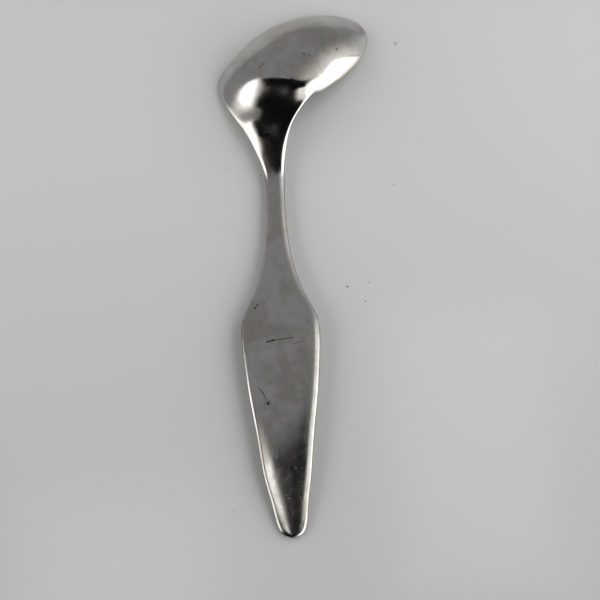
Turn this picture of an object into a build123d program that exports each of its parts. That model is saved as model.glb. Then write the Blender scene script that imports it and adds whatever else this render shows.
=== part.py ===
from build123d import *
import os
import numpy as np

# A one-piece metal serving spoon with a side-turned oval bowl and a flat leaf-shaped handle.
# It lies back up on a table, as it is put down: +Y runs from the handle's tip to the bowl,
# +Z is up and the bowl opens downwards. Everything is worked out with the tip at X = Y = 0
# and the table at Z = 0, and the origin is moved to the middle of the base at the end.

# ---- overall plan, mm ----
HANDLE_LENGTH = 104.0        # tip to where the neck starts to flare into the bowl
BOWL_LENGTH = 50.0           # along the bowl's own long axis
BOWL_WIDTH = 26.7            # across it
BOWL_BEND = 0.94             # how far the oval's two ends are bent towards the handle
BOWL_POWER = 1.835           # 2 makes the oval an ellipse; less makes its ends more pointed
BOWL_TURN = 27.19            # degrees from square across the handle to the bowl's long axis
BOWL_SIDE = 6.1              # bowl centre, to the right of the handle's axis
BOWL_REACH = 34.6            # bowl centre, beyond the end of the neck

# ---- handle outline, mm ----
TIP_WIDTH = 8.2              # across the rounded end
PADDLE_WIDTH = 22.4          # the widest place
PADDLE_FROM_TIP = 56.5
NECK_WIDTH = 5.4             # the narrowest place
NECK_FROM_TIP = 97.0
NECK_SIDE = -0.35            # the neck's middle line, to the right of the tip's
PADDLE_SIDE = -0.82          # the broad part's middle line, to the right of the tip's
SIDE_FROM_TIP = 18.0         # where the middle line has moved over to the broad part's
NECK_SPREAD = 0.2            # how far each edge has moved out again where the flare starts
END_FLAT = 0.9               # half the small flat left at the tip

# ---- thickness, mm ----
TIP_THICKNESS = 1.9
PADDLE_THICKNESS = 2.3
NECK_THICKNESS = 3.0
BOWL_WALL = 1.3
RIM_ROUNDING = 0.75          # width of the rounded edge round the bowl
PADDLE_ROUNDING = 2.0        # width of the rolled edge along the handle's broad part

# ---- heights over the table of the middle of the metal, mm ----
TIP_HEIGHT = 0.70
PADDLE_HEIGHT = 3.5
NECK_HEIGHT = 1.9
HANDLE_CROWN = 0.2           # the middle of the handle over its edges
RIM_HEIGHT = 0.3             # where the rim comes down to the table
NOTCH_HEIGHT = 6.33          # the rim on the side where the handle joins
BOWL_DEPTH = 6.75            # from the rim's own plane to the top of the dome
BOWL_FULLNESS = 0.46         # smaller makes the sides steeper and the dome flatter

# ---- how the neck's two edges spread into the bowl ----
LEFT_FLARE = 1.54            # power of the distance from the neck
RIGHT_FLARE = 2.6
LEFT_JOIN = 203.1            # where each edge meets the oval, degrees round it
RIGHT_JOIN = -92.0

STATIONS = 56                # cross-sections along the spoon
POINTS_ACROSS = 22           # steps across each face of a cross-section
END_CROWDING = 0.13          # how much closer together the cross-sections are at the two ends
FLAT_ARCH = 0.1              # share of a dome's arch that a nearly flat cross-section has
NUDGE = 1e-4                 # the small step used to find which way the metal faces


def smooth(knots, values, at):
    """The natural cubic spline through the values at the knots, read at other places."""
    knots, values = np.asarray(knots, float), np.asarray(values, float)
    step, rise = np.diff(knots), np.diff(values)
    bend = np.eye(len(knots))
    right = np.zeros(len(knots))
    for i in range(1, len(knots) - 1):
        bend[i, i - 1:i + 2] = step[i - 1], 2 * (step[i - 1] + step[i]), step[i]
        right[i] = 6 * (rise[i] / step[i] - rise[i - 1] / step[i - 1])
    curve = np.linalg.solve(bend, right)
    i = np.clip(np.searchsorted(knots, at) - 1, 0, len(step) - 1)
    a, b, h = knots[i + 1] - at, at - knots[i], step[i]
    return ((curve[i] * a**3 + curve[i + 1] * b**3) / (6 * h)
            + (values[i] / h - curve[i] * h / 6) * a
            + (values[i + 1] / h - curve[i + 1] * h / 6) * b)


def dome(share):
    """Height of the bowl's dome over its rim, 0 to 1, where share is 0 at the rim and 1 inside."""
    low, high = np.sqrt(BOWL_FULLNESS), np.sqrt(BOWL_FULLNESS + 1)
    return (np.sqrt(BOWL_FULLNESS + share) - low) / (high - low)


def between(a, b, share):
    return a + share * (b - a)


def rim(angle):
    """A point of the bowl's oval rim; 0 degrees is its far end, 90 its far side.

    It is an ellipse with its cosine and sine raised to a power, and its long axis is bent into a
    parabola that brings both ends nearer the handle.
    """
    t, turn = np.radians(angle), np.radians(BOWL_TURN)
    parts = np.array([np.cos(t), np.sin(t)])
    along, across = np.sign(parts) * np.abs(parts)**(2 / BOWL_POWER)
    across = across * BOWL_WIDTH / 2 - BOWL_BEND * along**2
    along = along * BOWL_LENGTH / 2
    return np.array([BOWL_SIDE + along * np.cos(turn) - across * np.sin(turn),
                     HANDLE_LENGTH + BOWL_REACH + along * np.sin(turn) + across * np.cos(turn)])


def inside(point):
    """How far inside the oval a point lies: 1 at its centre and 0 on the rim."""
    turn = np.radians(BOWL_TURN)
    x, y = point[0] - BOWL_SIDE, point[1] - HANDLE_LENGTH - BOWL_REACH
    along = (x * np.cos(turn) + y * np.sin(turn)) * 2 / BOWL_LENGTH
    across = (y * np.cos(turn) - x * np.sin(turn) + BOWL_BEND * along**2) * 2 / BOWL_WIDTH
    return 1 - abs(along)**BOWL_POWER - abs(across)**BOWL_POWER


def neck_edges():
    """X of the neck's left and right edges where the flare starts."""
    half = NECK_WIDTH / 2 + NECK_SPREAD
    return NECK_SIDE - half, NECK_SIDE + half


def tip_ribs():
    """The rounded end of the handle: half width, distance, height, thickness and rounding."""
    tip = TIP_WIDTH / 2
    first = np.degrees(np.arcsin(END_FLAT / tip))
    ribs = []
    # degrees round the end, share of the climb to the broadest place, share of the tip's thickness
    for turn, climb, thick in ((first, 0.0, 0.55), (35, 0.02, 0.85), (58, 0.06, 0.97), (76, 0.12, 1.0)):
        t = np.radians(turn)
        ribs.append((tip * np.sin(t), tip * (1 - np.cos(t)), between(TIP_HEIGHT, PADDLE_HEIGHT, climb),
                     TIP_THICKNESS * thick, tip))
    return ribs


def paddle_ribs():
    """From the tip to the broadest place, with the same five numbers in each row."""
    tip, paddle = TIP_WIDTH / 2, PADDLE_WIDTH / 2
    ribs = []
    # shares of the way: distance, widening, climb and how much of the tip's round edge is left
    for way, wide, climb, edge in ((0.15, 0.13, 0.42, 0.9), (0.28, 0.33, 0.76, 0.75),
                                   (0.50, 0.56, 1.0, 0.4), (0.71, 0.80, 1.04, 0.1),
                                   (0.885, 0.94, 1.02, 0.0), (1.0, 1.0, 1.0, 0.0)):
        ribs.append((between(tip, paddle, wide), way * PADDLE_FROM_TIP,
                     between(TIP_HEIGHT, PADDLE_HEIGHT, climb),
                     between(TIP_THICKNESS, PADDLE_THICKNESS, way), between(PADDLE_ROUNDING, tip, edge)))
    return ribs


def neck_ribs():
    """From the broadest place to the end of the neck, with the same five numbers in each row."""
    paddle, neck = PADDLE_WIDTH / 2, NECK_WIDTH / 2
    ribs = []
    # shares of the way: distance, narrowing and drop
    for way, narrow, drop in ((0.11, 0.05, 0.04), (0.21, 0.24, 0.13), (0.335, 0.52, 0.28),
                              (0.47, 0.73, 0.44), (0.63, 0.89, 0.66), (0.82, 0.975, 0.88),
                              (1.0, 1.0, 1.0)):
        ribs.append((between(paddle, neck, narrow), between(PADDLE_FROM_TIP, NECK_FROM_TIP, way),
                     between(PADDLE_HEIGHT, NECK_HEIGHT, drop),
                     between(PADDLE_THICKNESS, NECK_THICKNESS, way), PADDLE_ROUNDING))
    ribs.append((neck + NECK_SPREAD, HANDLE_LENGTH, NECK_HEIGHT, NECK_THICKNESS, PADDLE_ROUNDING))
    return ribs


def handle_rows():
    """The handle's cross-sections, whose middle line runs from the tip's to the neck's."""
    rows = []
    for half, y, z, thick, edge in tip_ribs() + paddle_ribs() + neck_ribs():
        side = np.interp(y, (0, SIDE_FROM_TIP, PADDLE_FROM_TIP, NECK_FROM_TIP),
                         (0, PADDLE_SIDE, PADDLE_SIDE, NECK_SIDE))
        rows.append((side - half, y, z, side + half, y, z, HANDLE_CROWN, 0.0, FLAT_ARCH, edge, thick))
    return rows


def flare_rows():
    """Where the neck's two edges leave it, along two power curves, for the oval."""
    neck_left, neck_right = neck_edges()
    left, right = rim(LEFT_JOIN), rim(RIGHT_JOIN)
    rows = []
    # share of the way to the oval; left and right heights, rise, lean, wall and arch as shares
    for way, low, high, rise, lean, wall, arch in ((0.29, 0.03, 0.20, 0.187, 0.216, 0.72, 0.187),
                                                   (0.54, 0.09, 0.707, 0.237, 0.032, 0.40, 0.200),
                                                   (0.78, 0.16, 1.18, 0.292, -0.188, 0.15, 0.078)):
        rows.append((between(neck_left, left[0], way**LEFT_FLARE), between(HANDLE_LENGTH, left[1], way),
                     between(NECK_HEIGHT, NOTCH_HEIGHT, low),
                     between(neck_right, right[0], way**RIGHT_FLARE), between(HANDLE_LENGTH, right[1], way),
                     between(NECK_HEIGHT, NOTCH_HEIGHT, high),
                     rise * BOWL_DEPTH, lean, arch, RIM_ROUNDING, between(BOWL_WALL, NECK_THICKNESS, wall)))
    return rows


def bowl_rows():
    """The bowl, each cross-section between two places on its oval."""
    rows = []
    # left and right places in degrees round the oval, their shares of the notch's height, extra
    # rise of the saddle beside the handle, lean, and the wall's share, which thins at the far end
    for turn, back, low, high, saddle, lean, wall in (
            (LEFT_JOIN, RIGHT_JOIN, 0.30, 1.303, 0.221, 0.071, 1.0),
            (150, -84, 0.01, 1.043, 0.340, 0.147, 1.0),
            (125, -76, 0.005, 1.050, 0.315, -0.068, 1.0), (100, -67, 0.07, 0.862, 0.174, -0.028, 1.0),
            (75, -56, 0.09, 0.591, 0.206, 0.021, 1.0), (50, -41, 0.06, 0.401, 0.087, 0.002, 1.0),
            (30, -27, 0.03, 0.139, 0.031, -0.007, 1.0), (14, -13, 0.045, 0.07, 0.0, 0.0, 0.85),
            (3.8, -3.8, 0.06, 0.06, 0.0, 0.0, 0.5)):
        left, right = rim(turn), rim(back)
        share = inside((left + right) / 2)
        rows.append((*left, between(RIM_HEIGHT, NOTCH_HEIGHT, low),
                     *right, between(RIM_HEIGHT, NOTCH_HEIGHT, high),
                     BOWL_DEPTH * (dome(share) + saddle), lean, share, RIM_ROUNDING, BOWL_WALL * wall))
    return rows


# One row for each cross-section from the handle's tip to the bowl's far end: the left edge X, Y, Z,
# the right edge X, Y, Z, how far the middle rises above the line between them, how far its top leans
# to the right, its arch, its rounding and its thickness.
RIBS = np.array(handle_rows() + flare_rows() + bowl_rows())
LEFT_STEPS, RIGHT_STEPS = np.diff(RIBS[:, 0:2], axis=0), np.diff(RIBS[:, 3:5], axis=0)
PLACES = np.concatenate([[0], np.cumsum((np.hypot(*LEFT_STEPS.T) + np.hypot(*RIGHT_STEPS.T)) / 2)])


def skin(u, v):
    """The middle of the metal, for rows u along the spoon and columns v across it from -1 to 1.

    The left and right edges are joined by a straight line, and the middle rises over that line as
    the dome does over its rim.
    """
    ribs = np.stack([smooth(PLACES, column, u) for column in RIBS.T], axis=1)[:, None, :]
    lean, arch = ribs[..., 7], ribs[..., 8]
    w = (v - lean) / (1 - lean * v)
    point = ribs[..., 0:3] * ((1 - v) / 2)[..., None] + ribs[..., 3:6] * ((1 + v) / 2)[..., None]
    point[..., 2] += ribs[..., 6] * dome(arch * (1 - w**2)) / dome(arch)
    return point, ribs


def faces(u, v):
    """The back and front of the metal: half the thickness either way from its middle.

    Each cross-section stays in its own upright plane, so the step is the part of the square
    direction that lies in that plane, lengthened until the wall is still as thick as it should be.
    """
    point, ribs = skin(u, v)
    inward = np.where(v > 0, -NUDGE, NUDGE)
    across = (skin(u, v + inward)[0] - point) / inward[..., None]
    forward = np.where(u < PLACES[-1] / 2, NUDGE, -NUDGE)
    along = (skin(u + forward, v)[0] - point) / forward[:, None, None]
    out = np.cross(across, along)
    out /= np.linalg.norm(out, axis=-1, keepdims=True)
    chord = ribs[..., 3:6] - ribs[..., 0:3]
    width = np.linalg.norm(chord, axis=-1)
    corner = np.maximum(2, width / ribs[..., 9])
    half = ribs[..., 10] / 2 * np.sqrt(1 - np.abs(v)**corner)
    ahead = np.stack([-chord[..., 1], chord[..., 0], np.zeros_like(width)], axis=-1)
    ahead /= np.linalg.norm(ahead, axis=-1, keepdims=True)
    slip = np.sum(out * ahead, axis=-1, keepdims=True)
    step = half[..., None] * (out - slip * ahead) / (1 - slip**2)
    return point + step, point - step


# ---- solid ----
def section(back, front):
    """One closed cross-section: across the back from left to right, and home along the front."""
    knots = [i / POINTS_ACROSS for i in range(POINTS_ACROSS + 1)]
    sides = [[Vector(*p) for p in side] for side in (back, front[::-1])]
    return Wire([Edge.make_spline(side, parameters=knots) for side in sides])


def crowded_at_ends(count):
    """Places along the spoon, closer together towards its two ends."""
    even = np.linspace(0, 1, count)
    return PLACES[-1] * (even - END_CROWDING * np.sin(2 * np.pi * even))


across = -np.cos(np.pi * np.linspace(0, 1, POINTS_ACROSS + 1))
back, front = faces(crowded_at_ends(STATIONS), across)
spoon = Solid.make_loft([section(b, f) for b, f in zip(back, front)])
box = spoon.bounding_box()
middle = (box.min + box.max) / 2
spoon = spoon.moved(Location((-middle.X, -middle.Y, -box.min.Z)))

os.makedirs("parts", exist_ok=True)
export_step(spoon, "parts/spoon.step")
print("spoon", "volume", round(spoon.volume), "size", box.size)
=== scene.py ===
"""A one-piece sauce spoon of worn metal, lying back up on a pale table."""

import math

import bpy
import numpy as np
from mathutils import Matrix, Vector


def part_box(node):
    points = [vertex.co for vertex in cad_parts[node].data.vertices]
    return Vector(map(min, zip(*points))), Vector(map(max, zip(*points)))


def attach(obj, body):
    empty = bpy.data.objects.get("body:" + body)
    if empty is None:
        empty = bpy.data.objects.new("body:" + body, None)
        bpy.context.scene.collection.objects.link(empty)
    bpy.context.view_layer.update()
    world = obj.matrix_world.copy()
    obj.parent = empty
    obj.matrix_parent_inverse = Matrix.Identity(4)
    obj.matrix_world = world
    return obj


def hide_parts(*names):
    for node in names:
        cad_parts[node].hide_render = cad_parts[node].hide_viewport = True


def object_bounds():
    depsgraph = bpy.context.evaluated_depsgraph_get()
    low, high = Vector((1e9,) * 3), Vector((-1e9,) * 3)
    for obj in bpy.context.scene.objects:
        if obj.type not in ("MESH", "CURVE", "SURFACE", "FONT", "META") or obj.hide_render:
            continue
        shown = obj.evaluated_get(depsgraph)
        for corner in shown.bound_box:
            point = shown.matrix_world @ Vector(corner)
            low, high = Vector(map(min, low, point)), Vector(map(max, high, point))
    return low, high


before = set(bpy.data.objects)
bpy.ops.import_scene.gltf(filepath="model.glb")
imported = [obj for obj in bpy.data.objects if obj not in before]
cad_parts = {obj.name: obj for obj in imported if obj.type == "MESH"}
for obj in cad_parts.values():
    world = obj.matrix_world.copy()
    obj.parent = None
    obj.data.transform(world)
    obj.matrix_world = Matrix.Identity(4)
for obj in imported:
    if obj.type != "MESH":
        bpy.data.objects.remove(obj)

CAD_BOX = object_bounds()
CAD_LOW, CAD_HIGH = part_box("spoon")
CAD_LENGTH = CAD_HIGH.y - CAD_LOW.y
CAD_MIDDLE = (CAD_LOW + CAD_HIGH) / 2
MM = 0.001

bl_info = {
    "name": "Sauce spoon",
    "version": (1, 0, 0),
    "blender": (4, 5, 0),
    "location": "3D View > Sidebar > Spoon",
    "description": "Builds a worn metal sauce spoon with a side-turned bowl, and a table to lie on",
    "category": "Add Mesh",
}

RINGS = 440                  # cross-sections of the mesh along the spoon
STEPS_ACROSS = 72            # steps across each face of a cross-section
END_CROWDING = 0.13          # how much closer together the cross-sections are at the two ends
NECK_SPREAD = 0.2 * MM       # how far each edge has moved out again where the flare starts
HANDLE_CROWN = 0.2 * MM      # the middle of the handle over its edges
FLAT_ARCH = 0.1              # share of a dome's arch that a nearly flat cross-section has
NUDGE_ALONG = 0.1 * MM       # the small steps used to find which way the metal faces
NUDGE_ACROSS = 1e-4

# The end of the handle, and the place on the table that the camera looks at.
TIP = Vector((CAD_MIDDLE.x - 6.86 * MM, CAD_MIDDLE.y - 77.15 * MM, CAD_LOW.z))
AIM = Vector((CAD_MIDDLE.x - 1.67 * MM, CAD_MIDDLE.y - 9.70 * MM, CAD_LOW.z))

TABLE_REACH = 4              # metres from the middle of the table to each side
CARD_STEPS = 24              # flat pieces round a curved card
CARD_GLOW = (1, 0.99, 0.97)  # colour of the light from a card
BLACK_PAPER = (0.004, 0.004, 0.004)


# ---------------------------------------------------------------- sizes and colours

def length(name, description, value):
    """A size property in metres, for a size given in millimetres."""
    return bpy.props.FloatProperty(name=name, description=description, default=value * MM, min=0.0,
                                   unit="LENGTH", precision=5, step=0.01)


def offset(name, description, value):
    """A size property in metres that may be negative, for a size given in millimetres."""
    return bpy.props.FloatProperty(name=name, description=description, default=value * MM,
                                   unit="LENGTH", precision=5, step=0.01)


def number(name, description, value):
    """A property that is a plain number."""
    return bpy.props.FloatProperty(name=name, description=description, default=value)


def angle(name, description, value):
    """An angle property in radians, for an angle given in degrees."""
    return bpy.props.FloatProperty(name=name, description=description, default=math.radians(value),
                                   subtype="ANGLE")


def fraction(name, description, value):
    """A property that is a number from 0 to 1."""
    return bpy.props.FloatProperty(name=name, description=description, default=value, min=0.0, max=1.0)


def brightness(name, description, value):
    """A property that is how bright a light is."""
    return bpy.props.FloatProperty(name=name, description=description, default=value, min=0.0)


def tint(name, description, *value):
    """A colour property with red, green and blue."""
    return bpy.props.FloatVectorProperty(name=name, description=description, default=value,
                                         subtype="COLOR", size=3, min=0.0, max=1.0)


class SpoonSizes(bpy.types.PropertyGroup):
    """The sizes that shape the spoon. Lengths are in metres."""

    handle_length: length("Handle length", "From the tip to where the neck starts to flare", 104.0)
    tip_width: length("Tip width", "Across the rounded end of the handle", 8.2)
    paddle_width: length("Paddle width", "Across the broadest place of the handle", 22.4)
    paddle_from_tip: length("Paddle from tip", "From the tip to the broadest place", 56.5)
    neck_width: length("Neck width", "Across the narrowest place", 5.4)
    neck_from_tip: length("Neck from tip", "From the tip to the narrowest place", 97.0)
    neck_side: offset("Neck side", "The neck's middle line, to the right of the tip's", -0.35)
    paddle_side: offset("Paddle side", "The broad part's middle line, to the right of the tip's", -0.82)
    side_from_tip: length("Side from tip", "From the tip to where the middle line has moved over", 18.0)
    bowl_length: length("Bowl length", "Along the bowl's own long axis", 50.0)
    bowl_width: length("Bowl width", "Across the bowl's long axis", 26.7)
    bowl_bend: length("Bowl bend", "How far the oval's ends are bent towards the handle", 0.94)
    bowl_power: number("Bowl power", "2 makes the oval an ellipse, and less makes it more pointed", 1.835)
    bowl_side: length("Bowl side", "From the handle's axis to the bowl's centre, to the right", 6.1)
    bowl_reach: length("Bowl reach", "From the end of the neck to the bowl's centre", 34.6)
    bowl_turn: angle("Bowl turn", "From square across the handle to the bowl's long axis", 27.19)
    bowl_depth: length("Bowl depth", "From the rim's own plane to the top of the dome", 6.75)
    bowl_fullness: bpy.props.FloatProperty(
        name="Bowl fullness", description="A smaller number makes the sides steeper and the dome flatter",
        default=0.46, min=0.01, max=5.0)
    tip_thickness: length("Tip thickness", "Of the metal at the handle's tip", 1.9)
    paddle_thickness: length("Paddle thickness", "Of the metal at the broadest place", 2.3)
    neck_thickness: length("Neck thickness", "Of the metal at the narrowest place", 3.0)
    bowl_wall: length("Bowl wall", "Thickness of the bowl", 1.3)
    rim_rounding: length("Rim rounding", "Width of the rounded edge round the bowl", 0.75)
    paddle_rounding: length("Paddle rounding", "Width of the rolled edge along the handle", 2.0)
    tip_height: length("Tip height", "Middle of the metal over the table at the tip", 0.70)
    paddle_height: length("Paddle height", "Middle of the metal over the table at the broadest place", 3.5)
    neck_height: length("Neck height", "Middle of the metal over the table at the neck", 1.9)
    rim_height: length("Rim height", "Middle of the metal over the table where the rim is lowest", 0.3)
    notch_height: length("Notch height", "Middle of the rim over the table beside the neck", 6.33)
    left_flare: number("Left flare", "How late the neck's left edge turns out into the bowl", 1.54)
    right_flare: number("Right flare", "How late the neck's right edge turns out into the bowl", 2.60)
    left_join: number("Left join", "Degrees round the oval to where the left edge meets it", 203.1)
    right_join: number("Right join", "Degrees round the oval to where the right edge meets it", -92.0)


class SpoonFinish(bpy.types.PropertyGroup):
    """The colours and polish of the metal."""

    metal: tint("Metal", "Colour of the bare metal", 0.60, 0.595, 0.575)
    tarnish: tint("Tarnish", "Colour of the thin brown film in the worn places", 0.46, 0.425, 0.375)
    cool_cast: tint("Cool cast", "Colour of the broad greyer clouds", 0.50, 0.52, 0.49)
    bright_line: tint("Bright line", "Colour of the fine scratches", 0.72, 0.71, 0.69)
    # This colour also paints shade: the dark band along the metal's edge is painted shade, while the marks
    # and pits are real.
    dirt_and_edge_shade: tint("Dirt", "Colour that has settled in the marks, the pits and the edge", 0.06, 0.05, 0.045)
    polish: fraction("Polish", "Roughness of the smoothest metal", 0.09)


class StageSettings(bpy.types.PropertyGroup):
    """The table, the lights and the camera."""

    table: tint("Table", "Colour of the table top", 0.635, 0.64, 0.64)
    # Painted shade: the table's colour is darker at the handle's end, standing in for the shade on the
    # camera's side of the table.
    table_near_shade: fraction("Table near", "Its colour at the handle's end, as a share of the colour", 0.86)
    table_roughness: fraction("Table roughness", "Roughness of the table top", 0.25)
    crumb: tint("Crumb", "Colour of the crumbs on the table", 0.05, 0.045, 0.04)
    window: brightness("Right light", "Of the card on the right", 3.0)
    lamp: brightness("Left light", "Of the card on the left", 2.4)
    window_low: brightness("Low right light", "Of the small light right of the handle", 1.3)
    lamp_low: brightness("Low left light", "Of the small light left of the handle", 1.6)
    fill: brightness("Table light", "Of the light that only the table shows", 2.3)
    ceiling: tint("Ceiling", "Colour and brightness of the room", 0.285, 0.285, 0.285)
    distance: length("Camera distance", "From the camera to what it looks at", 410)
    elevation: angle("Camera elevation", "Of the camera over the table", 77.0)
    azimuth: angle("Camera azimuth", "Of the camera round the spoon", -2.9)
    lens: number("Camera lens", "Focal length in millimetres, on a sensor 36 wide", 85.7)


# ---------------------------------------------------------------- shape

def smooth(knots, values, at):
    """The natural cubic spline through the values at the knots, read at other places.

    The bend at each knot comes from the usual three-term equations, solved all together.
    """
    step, rise = np.diff(knots), np.diff(values)
    equations = np.eye(len(knots))
    inner = np.arange(1, len(knots) - 1)
    equations[inner, inner - 1] = step[:-1]
    equations[inner, inner] = 2 * (step[:-1] + step[1:])
    equations[inner, inner + 1] = step[1:]
    right = np.zeros(len(knots))
    right[inner] = 6 * np.diff(rise / step)
    bend = np.linalg.solve(equations, right)
    i = np.clip(np.searchsorted(knots, at) - 1, 0, len(step) - 1)
    a, b, h = knots[i + 1] - at, at - knots[i], step[i]
    return ((bend[i] * a**3 + bend[i + 1] * b**3) / (6 * h)
            + (values[i] / h - bend[i] * h / 6) * a
            + (values[i + 1] / h - bend[i + 1] * h / 6) * b)


class SpoonShape:
    """The spoon's surface, with the tip at x = y = 0 and the table at z = 0.

    It is drawn through ribs, which are cross-sections from the tip to the bowl's far end. A rib has
    eleven numbers: the left edge's x, y and z, the right edge's x, y and z, how far its middle rises
    over the line between them, how far the top of that rise leans to the right, its share of a
    dome's arch, the width of its rounded edges, and the thickness of its metal.
    """

    LEFT, RIGHT = slice(0, 3), slice(3, 6)
    RISE, LEAN, ARCH, ROUNDING, THICKNESS = range(6, 11)

    def __init__(self, sizes):
        self.s = sizes
        self.ribs = np.array(self.handle_ribs() + self.flare_ribs() + self.bowl_ribs())
        left, right = (np.diff(self.ribs[:, side][:, :2], axis=0) for side in (self.LEFT, self.RIGHT))
        steps = (np.hypot(*left.T) + np.hypot(*right.T)) / 2
        self.places = np.concatenate([[0], np.cumsum(steps)])

    @staticmethod
    def between(a, b, share):
        """The number that is this share of the way from a to b."""
        return a + share * (b - a)

    def dome(self, share):
        """Height of the bowl over its rim, 0 to 1: an ellipsoid's, cut off by the fullness at the rim."""
        low, high = math.sqrt(self.s.bowl_fullness), math.sqrt(self.s.bowl_fullness + 1)
        return (np.sqrt(self.s.bowl_fullness + share) - low) / (high - low)

    def bowl_axes(self, x, y):
        """x and y turned into the bowl's own long and short axes."""
        cosine, sine = math.cos(self.s.bowl_turn), math.sin(self.s.bowl_turn)
        return x * cosine + y * sine, y * cosine - x * sine

    def rim(self, degrees):
        """A point of the oval rim: 0 degrees is its far end and 90 its far side.

        It is an ellipse with its cosine and sine raised to a power, and its long axis is bent into a
        parabola that brings both ends nearer the handle.
        """
        t, s = math.radians(degrees), self.s
        along, across = (math.copysign(abs(part)**(2 / s.bowl_power), part)
                         for part in (math.cos(t), math.sin(t)))
        across = across * s.bowl_width / 2 - s.bowl_bend * along**2
        along *= s.bowl_length / 2
        cosine, sine = math.cos(s.bowl_turn), math.sin(s.bowl_turn)
        return (s.bowl_side + along * cosine - across * sine,
                s.handle_length + s.bowl_reach + along * sine + across * cosine)

    def inside(self, x, y):
        """How far inside the oval a point lies: 1 at its centre and 0 on the rim."""
        s = self.s
        along, across = self.bowl_axes(x - s.bowl_side, y - s.handle_length - s.bowl_reach)
        along *= 2 / s.bowl_length
        across = (across + s.bowl_bend * along**2) * 2 / s.bowl_width
        return 1 - abs(along)**s.bowl_power - abs(across)**s.bowl_power

    def handle_ribs(self):
        """Cross-sections of the handle and neck, where the two edges mirror each other."""
        s, mix = self.s, self.between
        tip, paddle, neck = s.tip_width / 2, s.paddle_width / 2, s.neck_width / 2
        halves = []
        for turn, climb, thick in (
                (5, 0.0, 0.25), (14, 0.003, 0.55), (32, 0.018, 0.86), (56, 0.06, 0.97), (76, 0.12, 1.0)):
            t = math.radians(turn)
            halves.append((tip * math.sin(t), tip * (1 - math.cos(t)),
                           mix(s.tip_height, s.paddle_height, climb), s.tip_thickness * thick, tip))
        for way, wide, climb, edge in (
                (0.15, 0.13, 0.42, 0.9), (0.28, 0.33, 0.76, 0.75), (0.50, 0.56, 1.0, 0.4),
                (0.71, 0.80, 1.04, 0.1), (0.885, 0.94, 1.02, 0), (1, 1, 1, 0)):
            halves.append((mix(tip, paddle, wide), way * s.paddle_from_tip,
                           mix(s.tip_height, s.paddle_height, climb),
                           mix(s.tip_thickness, s.paddle_thickness, way),
                           mix(s.paddle_rounding, tip, edge)))
        for way, narrow, drop in (
                (0.11, 0.05, 0.04), (0.21, 0.24, 0.13), (0.335, 0.52, 0.28), (0.47, 0.73, 0.44),
                (0.63, 0.89, 0.66), (0.82, 0.975, 0.88), (1, 1, 1)):
            halves.append((mix(paddle, neck, narrow), mix(s.paddle_from_tip, s.neck_from_tip, way),
                           mix(s.paddle_height, s.neck_height, drop),
                           mix(s.paddle_thickness, s.neck_thickness, way), s.paddle_rounding))
        halves.append((neck + NECK_SPREAD, s.handle_length, s.neck_height, s.neck_thickness,
                       s.paddle_rounding))
        ribs = []
        for half, y, z, thick, edge in halves:
            side = np.interp(y, (0, s.side_from_tip, s.paddle_from_tip, s.neck_from_tip),
                             (0, s.paddle_side, s.paddle_side, s.neck_side))
            ribs.append((side - half, y, z, side + half, y, z, HANDLE_CROWN, 0, FLAT_ARCH, edge, thick))
        return ribs

    def flare_ribs(self):
        """Cross-sections where the neck's edges leave it along two power curves for the oval."""
        s, mix = self.s, self.between
        half = s.neck_width / 2 + NECK_SPREAD
        left, right = self.rim(s.left_join), self.rim(s.right_join)
        ribs = []
        for way, low, high, rise, lean, wall, arch in (
                (0.29, 0.03, 0.20, 0.187, 0.216, 0.72, 0.187),
                (0.54, 0.09, 0.707, 0.237, 0.032, 0.40, 0.200),
                (0.78, 0.16, 1.18, 0.292, -0.188, 0.15, 0.078)):
            ribs.append((mix(s.neck_side - half, left[0], way**s.left_flare),
                         mix(s.handle_length, left[1], way), mix(s.neck_height, s.notch_height, low),
                         mix(s.neck_side + half, right[0], way**s.right_flare),
                         mix(s.handle_length, right[1], way), mix(s.neck_height, s.notch_height, high),
                         rise * s.bowl_depth, lean, arch, s.rim_rounding,
                         mix(s.bowl_wall, s.neck_thickness, wall)))
        return ribs

    def bowl_ribs(self):
        """Cross-sections of the bowl, each between two places on its oval.

        The middle rises as the dome does there, and a little more where the neck's saddle runs into it.
        """
        s, mix = self.s, self.between
        ribs = []
        for turn, back, low, high, saddle, lean, wall in (
                (s.left_join, s.right_join, 0.30, 1.303, 0.221, 0.071, 1),
                (150, -84, 0.01, 1.043, 0.340, 0.147, 1), (125, -76, 0.005, 1.050, 0.315, -0.068, 1),
                (100, -67, 0.07, 0.862, 0.174, -0.028, 1), (75, -56, 0.09, 0.591, 0.206, 0.021, 1),
                (50, -41, 0.06, 0.401, 0.087, 0.002, 1), (30, -27, 0.03, 0.139, 0.031, -0.007, 1),
                (14, -13, 0.045, 0.07, 0, 0, 0.85), (5, -5, 0.055, 0.06, 0, 0, 0.6),
                (1.8, -1.8, 0.06, 0.06, 0, 0, 0.35)):
            left, right = self.rim(turn), self.rim(back)
            arch = self.inside((left[0] + right[0]) / 2, (left[1] + right[1]) / 2)
            ribs.append((*left, mix(s.rim_height, s.notch_height, low),
                         *right, mix(s.rim_height, s.notch_height, high),
                         s.bowl_depth * (self.dome(arch) + saddle), lean, arch, s.rim_rounding,
                         s.bowl_wall * wall))
        return ribs

    def skin(self, u, v):
        """The middle of the metal at rows u along the spoon and columns v across it.

        A straight line joins the left edge to the right, and the middle rises over that line as the
        dome does over its rim, with its top moved sideways by the lean.
        """
        ribs = np.stack([smooth(self.places, column, u) for column in self.ribs.T], axis=1)[:, None, :]
        lean, arch = ribs[..., self.LEAN], ribs[..., self.ARCH]
        w = (v - lean) / (1 - lean * v)
        left, right = ribs[..., self.LEFT], ribs[..., self.RIGHT]
        point = left * ((1 - v) / 2)[..., None] + right * ((1 + v) / 2)[..., None]
        point[..., 2] += ribs[..., self.RISE] * self.dome(arch * (1 - w**2)) / self.dome(arch)
        return point, ribs

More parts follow.
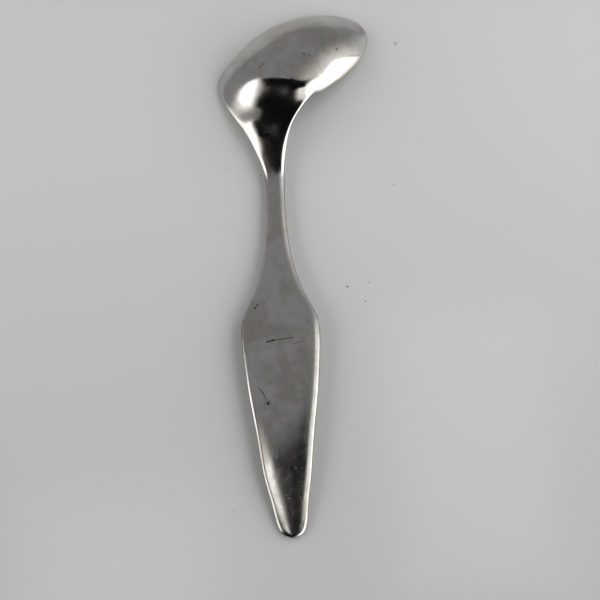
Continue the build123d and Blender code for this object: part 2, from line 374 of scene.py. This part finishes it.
    def faces(self, u, v):
        """The back, the front, and how near the edge each place is, from 0 to 1 at the edge itself.

        Each face is half the thickness from the middle of the metal. The thickness falls to nothing at
        both edges along a curve that rounds them: the square root of 1 less v to a power, which is the
        width over the width of the rounding. Each cross-section stays in its own upright plane.
        """
        point, ribs = self.skin(u, v)
        inward = np.where(v > 0, -NUDGE_ACROSS, NUDGE_ACROSS)
        across = (self.skin(u, v + inward)[0] - point) / inward[..., None]
        forward = np.where(u < self.places[-1] / 2, NUDGE_ALONG, -NUDGE_ALONG)
        along = (self.skin(u + forward, v)[0] - point) / forward[:, None, None]
        out = np.cross(across, along)
        out /= np.linalg.norm(out, axis=-1, keepdims=True)
        chord = ribs[..., self.RIGHT] - ribs[..., self.LEFT]
        width = np.linalg.norm(chord, axis=-1)
        full = np.sqrt(1 - np.abs(v)**np.maximum(2, width / ribs[..., self.ROUNDING]))
        half = ribs[..., self.THICKNESS] / 2 * full
        ahead = np.stack([-chord[..., 1], chord[..., 0], 0 * width], axis=-1)
        ahead /= np.linalg.norm(ahead, axis=-1, keepdims=True)
        slip = np.sum(out * ahead, axis=-1, keepdims=True)
        step = half[..., None] * (out - slip * ahead) / (1 - slip**2)
        return point + step, point - step, 1 - full


def spoon_mesh(sizes):
    """The closed mesh and where the handle's tip is.

    The mesh is rings round the metal from the tip to the bowl's far end, and a cap at each. It is as
    long as the solid and has the same middle. Its edge attribute is how near the metal's edge a point is.
    """
    shape = SpoonShape(sizes)
    even = np.linspace(0, 1, RINGS)
    u = shape.places[-1] * (even - END_CROWDING * np.sin(2 * np.pi * even))
    v = -np.cos(np.pi * np.linspace(0, 1, STEPS_ACROSS + 1))
    back, front, edge = shape.faces(u, v)
    rings = np.concatenate([back, front[:, -2:0:-1]], axis=1)
    edge = np.concatenate([edge, edge[:, -2:0:-1]], axis=1)
    count = rings.shape[1]
    ends = np.stack([rings[0].mean(axis=0), rings[-1].mean(axis=0)])
    points = np.concatenate([rings.reshape(-1, 3), ends])
    low, high = points.min(axis=0), points.max(axis=0)
    scale = CAD_LENGTH / (high[1] - low[1])
    tip = np.array(CAD_MIDDLE) - (low + high) / 2 * scale
    points = points * scale + tip
    i = np.arange(RINGS - 1)[:, None] * count
    j = np.arange(count)
    after = (j + 1) % count
    quads = np.stack([i + j, i + after, i + count + after, i + count + j], axis=-1)
    last = (RINGS - 1) * count
    near = np.stack([after, j, np.full(count, last + count)], axis=-1)
    far = np.stack([last + j, last + after, np.full(count, last + count + 1)], axis=-1)
    mesh = bpy.data.meshes.new("spoon_metal")
    mesh.from_pydata(points, [], quads.reshape(-1, 4).tolist() + near.tolist() + far.tolist())
    mesh.polygons.foreach_set("use_smooth", np.ones(len(mesh.polygons), bool))
    mesh.attributes.new("edge", "FLOAT", "POINT").data.foreach_set("value", np.append(edge.ravel(), [0, 0]))
    mesh.update()
    return mesh, tip


# ---------------------------------------------------------------- finish

class Socket:
    """A shader socket that can be used in sums: each operator adds a Math node."""

    def __init__(self, tree, socket):
        self.tree, self.socket = tree, socket

    @classmethod
    def node(cls, tree, kind, settings=None, inputs=None, output=0):
        """Any node: its type, its settings, which are set first, and its sockets' values or links."""
        made = tree.nodes.new(kind)
        for name, value in (settings or {}).items():
            setattr(made, name, value)
        for name, value in (inputs or {}).items():
            socket = made.inputs[name]
            if isinstance(value, Socket):
                tree.links.new(value.socket, socket)
            else:
                socket.default_value = value
        return cls(tree, made.outputs[output] if len(made.outputs) else None)

    def math(self, operation, *values):
        """A Math node on these values or sockets."""
        return self.node(self.tree, "ShaderNodeMath", {"operation": operation}, dict(enumerate(values)))

    def __add__(self, other):
        return self.math("ADD", self, other)

    __radd__ = __add__

    def __sub__(self, other):
        return self.math("SUBTRACT", self, other)

    def __rsub__(self, other):
        return self.math("SUBTRACT", other, self)

    def __mul__(self, other):
        return self.math("MULTIPLY", self, other)

    __rmul__ = __mul__

    def __truediv__(self, other):
        return self.math("DIVIDE", self, other)

    def __abs__(self):
        return self.math("ABSOLUTE", self)

    def root(self):
        """The square root."""
        return self.math("SQRT", self)

    def angle(self, other):
        """The direction, in degrees from other's axis towards this one's."""
        return self.math("ARCTAN2", self, other) * math.degrees(1)

    def least(self, other):
        """The smaller of the two."""
        return self.math("MINIMUM", self, other)

    def most(self, other):
        """The larger of the two."""
        return self.math("MAXIMUM", self, other)

    def step(self, low, high):
        """0 below low and 1 above high, smoothly between them; low may be the larger."""
        return self.node(self.tree, "ShaderNodeMapRange", {"interpolation_type": "SMOOTHSTEP"},
                         {"Value": self, "From Min": low, "From Max": high, "To Min": 0.0, "To Max": 1.0})


class Surface:
    """A material and its patterns, which are all on Object coordinates.

    x, y and z are in metres, with x and y counted from an origin.
    """

    def __init__(self, name, origin=(0, 0)):
        self.material = bpy.data.materials.new(name)
        self.material.use_nodes = True
        self.tree = self.material.node_tree
        self.tree.nodes.clear()
        place = self.node("ShaderNodeTexCoord", output="Object")
        moved = (-origin[0], -origin[1], 0)
        self.place = self.node("ShaderNodeMapping", inputs={"Vector": place, "Location": moved})
        self.x, self.y, self.z = (
            self.node("ShaderNodeSeparateXYZ", inputs={"Vector": self.place}, output=i) for i in range(3))

    def node(self, kind, settings=None, inputs=None, output=0):
        """Any node of this material."""
        return Socket.node(self.tree, kind, settings, inputs, output)

    def finish(self, sockets):
        """The Principled shader with these sockets, joined to the material's output."""
        shader = self.node("ShaderNodeBsdfPrincipled", inputs=sockets)
        self.node("ShaderNodeOutputMaterial", inputs={"Surface": shader})
        return self.material

    def stretched(self, across, along, turn, seed):
        """The place measured in steps across and along lines that are turned from Y, moved by a seed."""
        return self.node("ShaderNodeMapping", {"vector_type": "TEXTURE"}, {
            "Vector": self.place, "Scale": (across, along, across), "Rotation": (0, 0, math.radians(turn)),
            "Location": (seed * MM, -seed * MM, 0)})

    def noise(self, size, detail=3.0, vector=None, distortion=0.0):
        """Cloudy noise from 0 to 1 whose blots are about size across, in metres or the vector's steps."""
        return self.node("ShaderNodeTexNoise", inputs={
            "Vector": vector or self.place, "Scale": 1 / size, "Detail": detail, "Distortion": distortion})

    def blend(self, share, a, b):
        """Colour a where share is 0 and colour b where it is 1."""
        a, b = (c if isinstance(c, Socket) else (*c, 1.0) for c in (a, b))
        return self.node("ShaderNodeMix", {"data_type": "RGBA"}, {0: share, 6: a, 7: b}, output=2)

    def scratches(self, turn, spacing, length, seed, thin=0.02, few=0.5):
        """Fine lines at one angle: where stretched noise crosses its middle, broken up by more noise."""
        line = abs(self.noise(1, 1, self.stretched(spacing, length, turn, seed)) - 0.5).step(thin, 0)
        gaps = self.noise(1, 1, self.stretched(spacing * 2, length / 3, turn, seed + 7))
        return line * gaps.step(few, few + 0.12)

    def from_line(self, a, b):
        """Distance from the straight line between a and b, all seen from above."""
        run = b[0] - a[0], b[1] - a[1]
        px, py = self.x - a[0], self.y - a[1]
        along = ((px * run[0] + py * run[1]) / (run[0]**2 + run[1]**2)).most(0).least(1)
        dx, dy = px - along * run[0], py - along * run[1]
        return (dx * dx + dy * dy).root()

    def from_point(self, a):
        """Distance from a point, seen from above."""
        dx, dy = self.x - a[0], self.y - a[1]
        return (dx * dx + dy * dy).root()


# Marks of use on the back. A line has two ends, half its width and how dark it is, and a spot has its
# middle, its radius and how dark it is. All are in mm from the handle's tip.
LINES = (
    ((-4.8, 54.7), (-2.9, 55.1), 0.26, 0.8), ((-3.2, 55.1), (2.7, 55.6), 0.17, 0.7),
    ((2.5, 53.9), (6.0, 54.4), 0.22, 0.25), ((-7.6, 41.6), (-6.6, 40.3), 0.14, 0.6),
    ((-6.6, 40.3), (-5.4, 37.6), 0.14, 0.7), ((-6.4, 37.0), (-6.1, 37.8), 0.12, 0.6),
    ((-4.8, 38.1), (-4.6, 36.7), 0.13, 0.6), ((-1.5, 11.2), (-0.3, 10.6), 0.15, 0.5),
    ((23.2, 138.8), (26.4, 139.9), 0.14, 0.45), ((-7.9, 64.5), (-6.9, 65.7), 0.12, 0.4),
)
SPOTS = (
    ((-5.3, 37.2), 0.48, 1.0), ((-3.0, 55.1), 0.34, 0.7), ((-1.6, 11.2), 0.50, 0.9),
    ((-7.8, 64.7), 0.30, 0.7), ((-7.0, 65.7), 0.28, 0.6), ((-3.1, 134.9), 0.40, 0.6),
    ((-2.0, 135.5), 0.34, 0.7), ((19.6, 140.1), 0.36, 0.7), ((9.3, 144.2), 0.30, 0.35),
    ((9.9, 137.8), 0.40, 0.5), ((11.4, 137.5), 0.40, 0.35),
)

# Crumbs on the table, in the same way as the spots.
CRUMBS = (
    ((19.0, 70.7), 0.42, 0.98), ((25.1, 71.6), 0.34, 0.63), ((28.7, 68.8), 0.25, 0.49),
    ((23.9, 66.1), 0.36, 0.70), ((11.0, 92.7), 0.25, 0.42), ((12.9, 117.5), 0.30, 0.42),
    ((34.3, 100.7), 0.32, 0.70), ((-14.9, 107.8), 0.24, 0.56), ((-16.3, 8.2), 0.45, 0.28),
    ((37.7, 144.7), 0.90, 0.35),
)


def worn_metal(finish, tip):
    """Satin metal gone patchy with use.

    It has a thin brown film in clouds, hairline scratches, pits and dark marks, and painted shade along its
    edge.
    """
    metal = Surface("worn_metal", tip)
    bowl = metal.y.step(98 * MM, 112 * MM)      # 0 on the handle and 1 on the bowl
    clouds = metal.noise(9 * MM, 3, distortion=0.6)
    grain = metal.noise(2.2 * MM, 4)
    film = (clouds * 0.7 + grain * 0.3).step(0.40, 0.62)
    tone = (metal.noise(22 * MM, 2) * 0.6 + metal.noise(4.5 * MM, 3) * 0.4).step(0.35, 0.65)
    lengthwise = metal.scratches(2, 0.5 * MM, 30 * MM, 3, 0.03, 0.45)
    leftward = metal.scratches(38, 0.8 * MM, 12 * MM, 19, 0.018, 0.58)
    rightward = metal.scratches(-72, 0.7 * MM, 14 * MM, 11, 0.02, 0.56)
    hairlines = (lengthwise * (1 - bowl * 0.7)).most(rightward.most(leftward))
    pits = metal.noise(0.9 * MM, 1).step(0.73, 0.80) * metal.noise(6 * MM, 2).step(0.48, 0.60)
    marks = 0.0
    for a, b, half, dark in LINES:
        away = metal.from_line([c * MM for c in a], [c * MM for c in b])
        ragged = away + (grain - 0.5) * (0.25 * MM)
        marks = ragged.step(half * 1.5 * MM, half * 0.4 * MM) * dark + marks
    for centre, radius, dark in SPOTS:
        away = metal.from_point([c * MM for c in centre])
        ragged = away + (grain - 0.5) * (0.5 * MM)
        marks = ragged.step(radius * 1.3 * MM, radius * 0.5 * MM) * dark + marks
    marks = marks.least(1).most(pits * 0.4)
    # Painted shade: the metal is darkened along its edge, where it mirrors the shadow on the table beside
    # it, less so on the bowl.
    edge = metal.node("ShaderNodeAttribute", {"attribute_name": "edge"}, output="Fac")
    painted_edge_shade = edge.step(0.4, 0.75) * (1 - bowl * 0.5) * 0.75
    colour = metal.blend(film * 0.75, finish.metal, finish.tarnish)
    colour = metal.blend(tone * 0.25, colour, finish.cool_cast)
    colour = metal.blend(hairlines * 0.2, colour, finish.bright_line)
    # The marks are real dark marks on the metal; the band along the edge is painted shade.
    colour = metal.blend(marks.most(painted_edge_shade), colour, finish.dirt_and_edge_shade)
    satin = finish.polish + film * 0.07 + grain * 0.05 + hairlines * 0.08 + marks * 0.4 + (1 - bowl) * 0.05
    height = clouds * 0.8 + grain * 0.12 - hairlines * 0.05 - marks * 0.6
    bump = metal.node("ShaderNodeBump", inputs={"Strength": 0.5, "Distance": 0.03 * MM, "Height": height})
    return metal.finish({"Base Color": colour, "Metallic": 1.0, "Roughness": satin.least(0.7),
                         "Normal": bump})


# ---------------------------------------------------------------- pieces

def show(name, mesh, material):
    """The object of a mesh, in the scene and with its material."""
    made = bpy.data.objects.new(name, mesh)
    mesh.materials.append(material)
    bpy.context.scene.collection.objects.link(made)
    return made


class MESH_OT_sauce_spoon(bpy.types.Operator):
    """Add the worn metal spoon, in place of the plain solid"""

    bl_idname = "mesh.sauce_spoon"
    bl_label = "Add spoon"

    def execute(self, context):
        mesh, tip = spoon_mesh(context.scene.spoon_sizes)
        spoon = show("spoon_metal", mesh, worn_metal(context.scene.spoon_finish, tip))
        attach(spoon, "root")
        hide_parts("spoon")
        return {"FINISHED"}


def card(name, paper, points, faces, glow, shown=1.0):
    """A piece of black paper that may glow, and that the camera doesn't see."""
    mesh = bpy.data.meshes.new(name)
    mesh.from_pydata(points, [], faces)
    made = show(name, mesh, paper.finish({
        "Base Color": (*BLACK_PAPER, 1), "Roughness": 1.0, "Specular IOR Level": 0.0,
        "Emission Color": (*CARD_GLOW, 1), "Emission Strength": glow, "Alpha": shown}))
    made.visible_camera = False
    return made


def curved_card(name, turn, rise, away, glow, soft=None, halo=0.0):
    """An upright card bent round the spoon: a part of a cylinder's wall.

    A point's x and y are the distance away times the cosine and sine of its direction, which is counted
    from +X towards +Y, and z is the distance times the tangent of its elevation, all in degrees. A soft
    card is solid within its left, right and top edges, and beyond them its halo fades to nothing.
    """
    directions = np.radians(np.linspace(*turn, CARD_STEPS + 1))
    wall = away * np.stack([np.cos(directions), np.sin(directions)], axis=-1)
    points = np.concatenate([np.c_[wall, np.full(len(wall), z)] for z in away * np.tan(np.radians(rise))])
    i = np.arange(CARD_STEPS)
    quads = np.stack([i + 1, i, i + len(wall), i + len(wall) + 1], axis=-1)
    paper = Surface(name)
    shown = 1.0
    if soft:
        middle = sum(turn) / 2
        cosine, sine = math.cos(math.radians(middle)), math.sin(math.radians(middle))
        side = (paper.y * cosine - paper.x * sine).angle(paper.x * cosine + paper.y * sine) + middle
        up = paper.z.angle((paper.x * paper.x + paper.y * paper.y).root())
        left, right, top = soft
        core = side.step(*left) * side.step(right[1], right[0]) * up.step(top[1], top[0])
        fade = side.step(turn[0], left[1]) * side.step(turn[1], right[0]) * up.step(rise[1], top[0])
        shown = core.most(fade * halo)
    return card(name, paper, points, quads.tolist(), glow, shown)


def level_card(name, x, y, z, soft, glow):
    """A level card between two x and two y, at one height, with edges that fade over a soft width."""
    paper = Surface(name)
    shown = (paper.x.step(x[0], x[0] + soft) * paper.x.step(x[1], x[1] - soft)
             * paper.y.step(y[0], y[0] + soft) * paper.y.step(y[1], y[1] - soft))
    points = [(x[0], y[0], z), (x[1], y[0], z), (x[1], y[1], z), (x[0], y[1], z)]
    return card(name, paper, points, [(0, 1, 2, 3)], glow, shown)


def dark_ceiling(z):
    """A level black card behind the camera, whose near edge runs unevenly over the spoon."""
    near = ((-1.5, -0.024), (-0.14, -0.003), (-0.02, -0.012), (0.01, 0.008), (0.08, 0.06), (0.25, 0.0),
            (1.5, -0.024))
    far = -1.6
    count = len(near)
    points = [(x, y, z) for x, y in near] + [(x, far, z) for x, y in near]
    quads = [(i, count + i, count + i + 1, i + 1) for i in range(count - 1)]
    card("dark_ceiling", Surface("dark_ceiling"), points, quads, 0.0)


def light_cards(stage):
    """The soft lights on both sides and the dark places round them, which the metal mirrors.

    The two low lights are mirrored and light nothing, and the two fill lights are never mirrored.
    """
    curved_card("window_side", turn=(-90, 55), rise=(0, 74), away=0.9, glow=stage.window,
                soft=((-57, -50), (1, 13), (34, 41)), halo=0.3)
    curved_card("lamp_side", turn=(168, 222), rise=(0, 46), away=0.9, glow=stage.lamp,
                soft=((174, 179), (212, 222), (30, 42)))
    curved_card("dark_wall", turn=(217, 298), rise=(0, 41), away=0.9, glow=0.0)
    dark_ceiling(z=0.8)
    low_cards = (level_card("lamp_low", x=(-0.115, -0.024), y=(-0.125, -0.042), z=0.12, soft=0.02,
                            glow=stage.lamp_low),
                 level_card("window_low", x=(0.020, 0.085), y=(-0.100, 0.004), z=0.06, soft=0.012,
                            glow=stage.window_low))
    for low in low_cards:
        low.visible_diffuse = low.visible_shadow = False
    fill_cards = (curved_card("fill_right", turn=(-60, 60), rise=(12, 60), away=0.6, glow=stage.fill),
                  curved_card("fill_left", turn=(140, 230), rise=(10, 42), away=0.6, glow=stage.fill))
    for fill in fill_cards:
        fill.visible_glossy = False


def table_top(stage):
    """A wide level table under the spoon, with painted shade that darkens it a little at the handle's end,
    and a few crumbs on it.
    """
    far, z = TABLE_REACH, CAD_BOX[0].z
    mesh = bpy.data.meshes.new("table")
    mesh.from_pydata([(-far, -far, z), (far, -far, z), (far, far, z), (-far, far, z)], [], [(0, 1, 2, 3)])
    top = Surface("table", TIP)
    crumbs = 0.0
    for centre, radius, dark in CRUMBS:
        away = top.from_point([c * MM for c in centre])
        crumbs = away.step(radius * 0.9 * MM, radius * 0.4 * MM) * dark + crumbs
    # Painted shade: the colour fades from the darker share at the handle's end to the full colour towards
    # the bowl.
    near = [stage.table_near_shade * c for c in stage.table]
    plain = top.blend(top.y.step(-20 * MM, 150 * MM), near, stage.table)
    made = show("table", mesh, top.finish({"Base Color": top.blend(crumbs, plain, stage.crumb),
                                           "Roughness": stage.table_roughness}))


def room(scene, colour):
    """An even colour all round, for what no card covers."""
    world = bpy.data.worlds.new("ceiling")
    world.use_nodes = True
    world.node_tree.nodes["Background"].inputs["Color"].default_value = (*colour, 1)
    scene.world = world
    scene.view_settings.view_transform = "Standard"


def camera(scene, stage):
    """The camera, nearly straight over the spoon."""
    data = bpy.data.cameras.new("camera")
    data.lens, data.sensor_width, data.clip_start = stage.lens, 36, 0.01
    made = bpy.data.objects.new("camera", data)
    scene.collection.objects.link(made)
    level = math.cos(stage.elevation)
    back = Vector((math.sin(stage.azimuth) * level, -math.cos(stage.azimuth) * level,
                   math.sin(stage.elevation)))
    made.location = AIM + back * stage.distance
    made.rotation_euler = (-back).to_track_quat("-Z", "Y").to_euler()
    scene.camera = made


class SCENE_OT_sauce_spoon_stage(bpy.types.Operator):
    """Add the pale table, the soft light and the camera"""

    bl_idname = "scene.sauce_spoon_stage"
    bl_label = "Add stage"

    def execute(self, context):
        stage = context.scene.spoon_stage
        table_top(stage)
        light_cards(stage)
        room(context.scene, stage.ceiling)
        camera(context.scene, stage)
        return {"FINISHED"}


class VIEW3D_PT_sauce_spoon(bpy.types.Panel):
    """The spoon's sizes, finish and stage"""

    bl_label = "Sauce spoon"
    bl_idname = "VIEW3D_PT_sauce_spoon"
    bl_space_type = "VIEW_3D"
    bl_region_type = "UI"
    bl_category = "Spoon"

    def draw(self, context):
        scene = context.scene
        for settings, operator in ((scene.spoon_sizes, None), (scene.spoon_finish, "mesh.sauce_spoon"),
                                   (scene.spoon_stage, "scene.sauce_spoon_stage")):
            for name in settings.__annotations__:
                self.layout.prop(settings, name)
            if operator:
                self.layout.operator(operator)


SETTINGS = {"spoon_sizes": SpoonSizes, "spoon_finish": SpoonFinish, "spoon_stage": StageSettings}
CLASSES = (*SETTINGS.values(), MESH_OT_sauce_spoon, SCENE_OT_sauce_spoon_stage, VIEW3D_PT_sauce_spoon)


def register():
    """Make the classes and the scene's settings known."""
    for each in CLASSES:
        bpy.utils.register_class(each)
    for name, group in SETTINGS.items():
        setattr(bpy.types.Scene, name, bpy.props.PointerProperty(type=group))


def unregister():
    """Take them away again."""
    for name in SETTINGS:
        delattr(bpy.types.Scene, name)
    for each in reversed(CLASSES):
        bpy.utils.unregister_class(each)


def main():
    """Build the spoon and its stage."""
    register()
    bpy.ops.mesh.sauce_spoon()
    bpy.ops.scene.sauce_spoon_stage()


if __name__ == "__main__":
    main()
